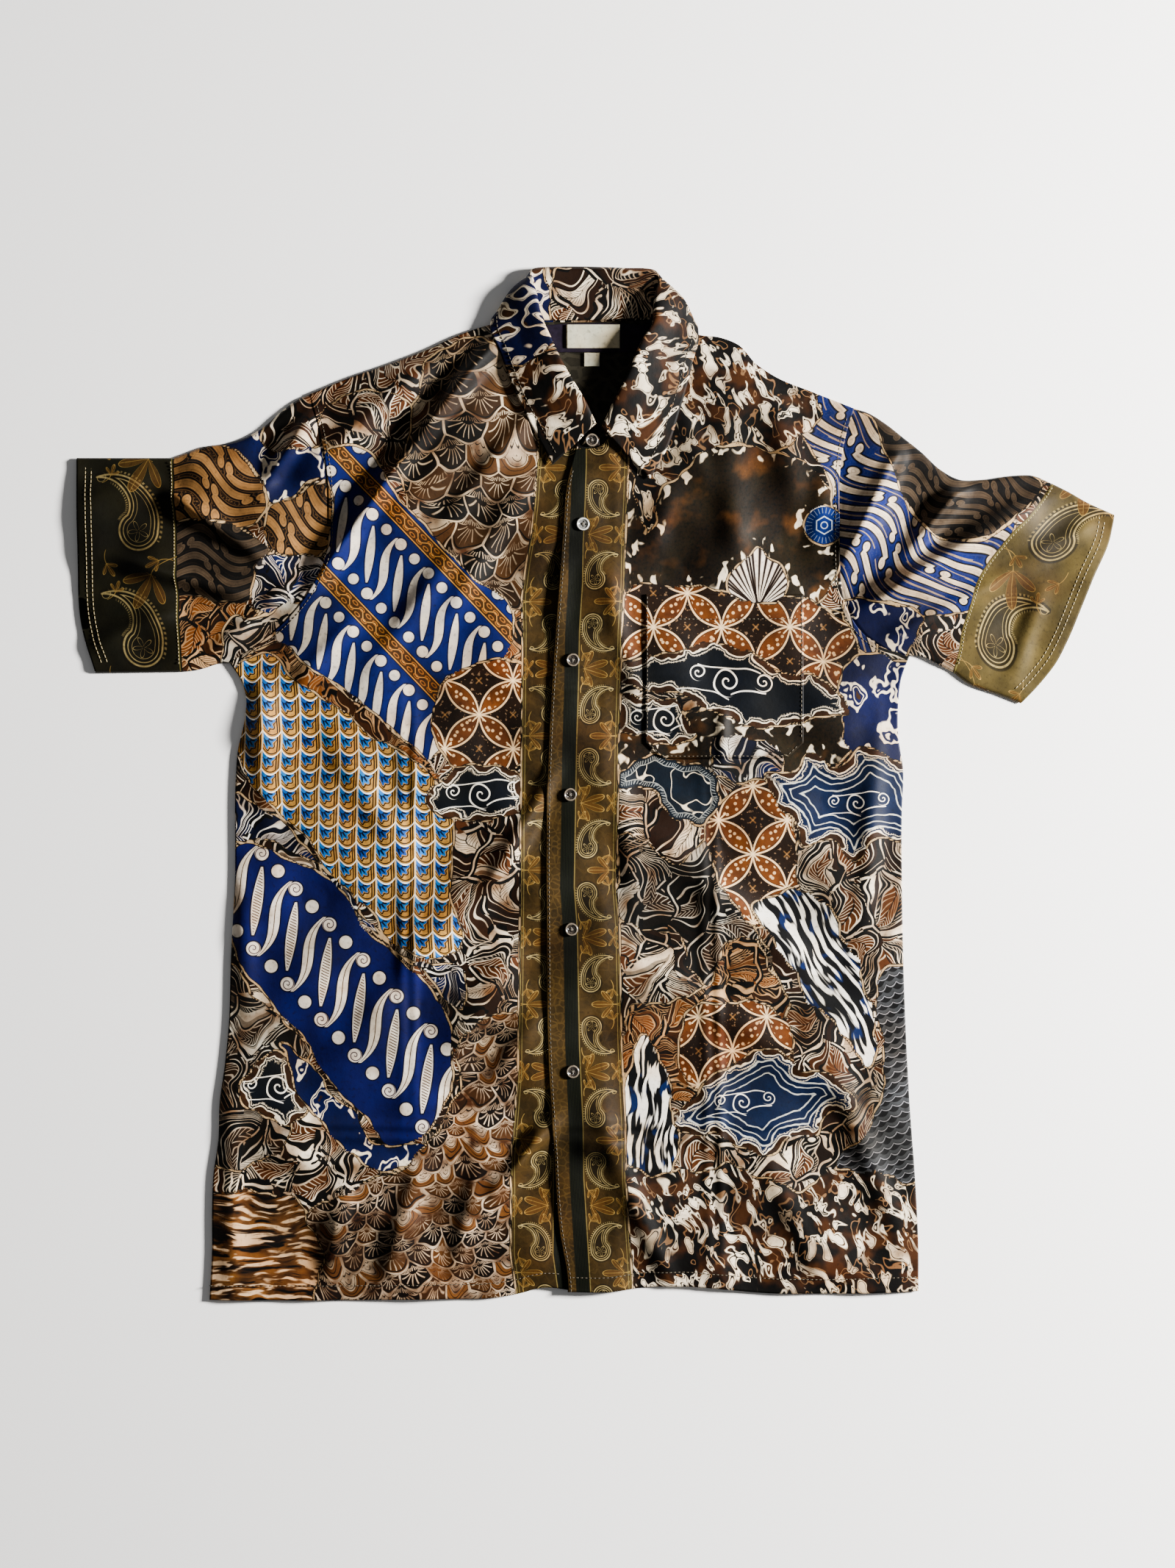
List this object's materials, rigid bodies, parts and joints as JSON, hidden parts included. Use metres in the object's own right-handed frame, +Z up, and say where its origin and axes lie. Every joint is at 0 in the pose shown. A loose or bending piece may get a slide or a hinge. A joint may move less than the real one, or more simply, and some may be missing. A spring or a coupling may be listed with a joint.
{
  "type": "short-sleeved batik shirt",
  "caption": "Short-sleeved batik shirt laid flat and buttoned up, with a turned-down collar, a chest patch pocket and patterned sleeve cuffs.",
  "frame": {"origin": "middle of the bounding box in X and Y, on the surface that the shirt lies on", "axes": "+X to the viewer's right seen from above, +Y from the hem to the collar, +Z up from the surface"},
  "size_m": [0.8202, 0.8158, 0.02],
  "materials": {
    "batik_sateen": "multicoloured wax-resist print on soft cotton sateen",
    "border_sateen": "olive and gold paisley border print on cotton sateen",
    "collar_sateen": "blotched wax-resist print on stiffened cotton sateen",
    "facing_sateen": "dark glossy facing",
    "label_satin": "woven satin, bare",
    "button_resin": "polished resin"
  },
  "bodies": {
    "root": {"back": "batik_sateen", "front_under": "batik_sateen", "front_over": "batik_sateen", "sleeve_left": "batik_sateen", "sleeve_right": "batik_sateen", "cuff_left": "border_sateen", "cuff_right": "border_sateen", "collar_stand": "collar_sateen", "collar_leaf": "collar_sateen", "collar_tab": "collar_sateen", "neck_facing": "facing_sateen", "chest_pocket": "batik_sateen", "main_label": "label_satin", "size_tag": "label_satin", "button_1": "button_resin", "button_2": "button_resin", "button_3": "button_resin", "button_4": "button_resin", "button_5": "button_resin", "button_6": "button_resin"}
  },
  "joints": []
}
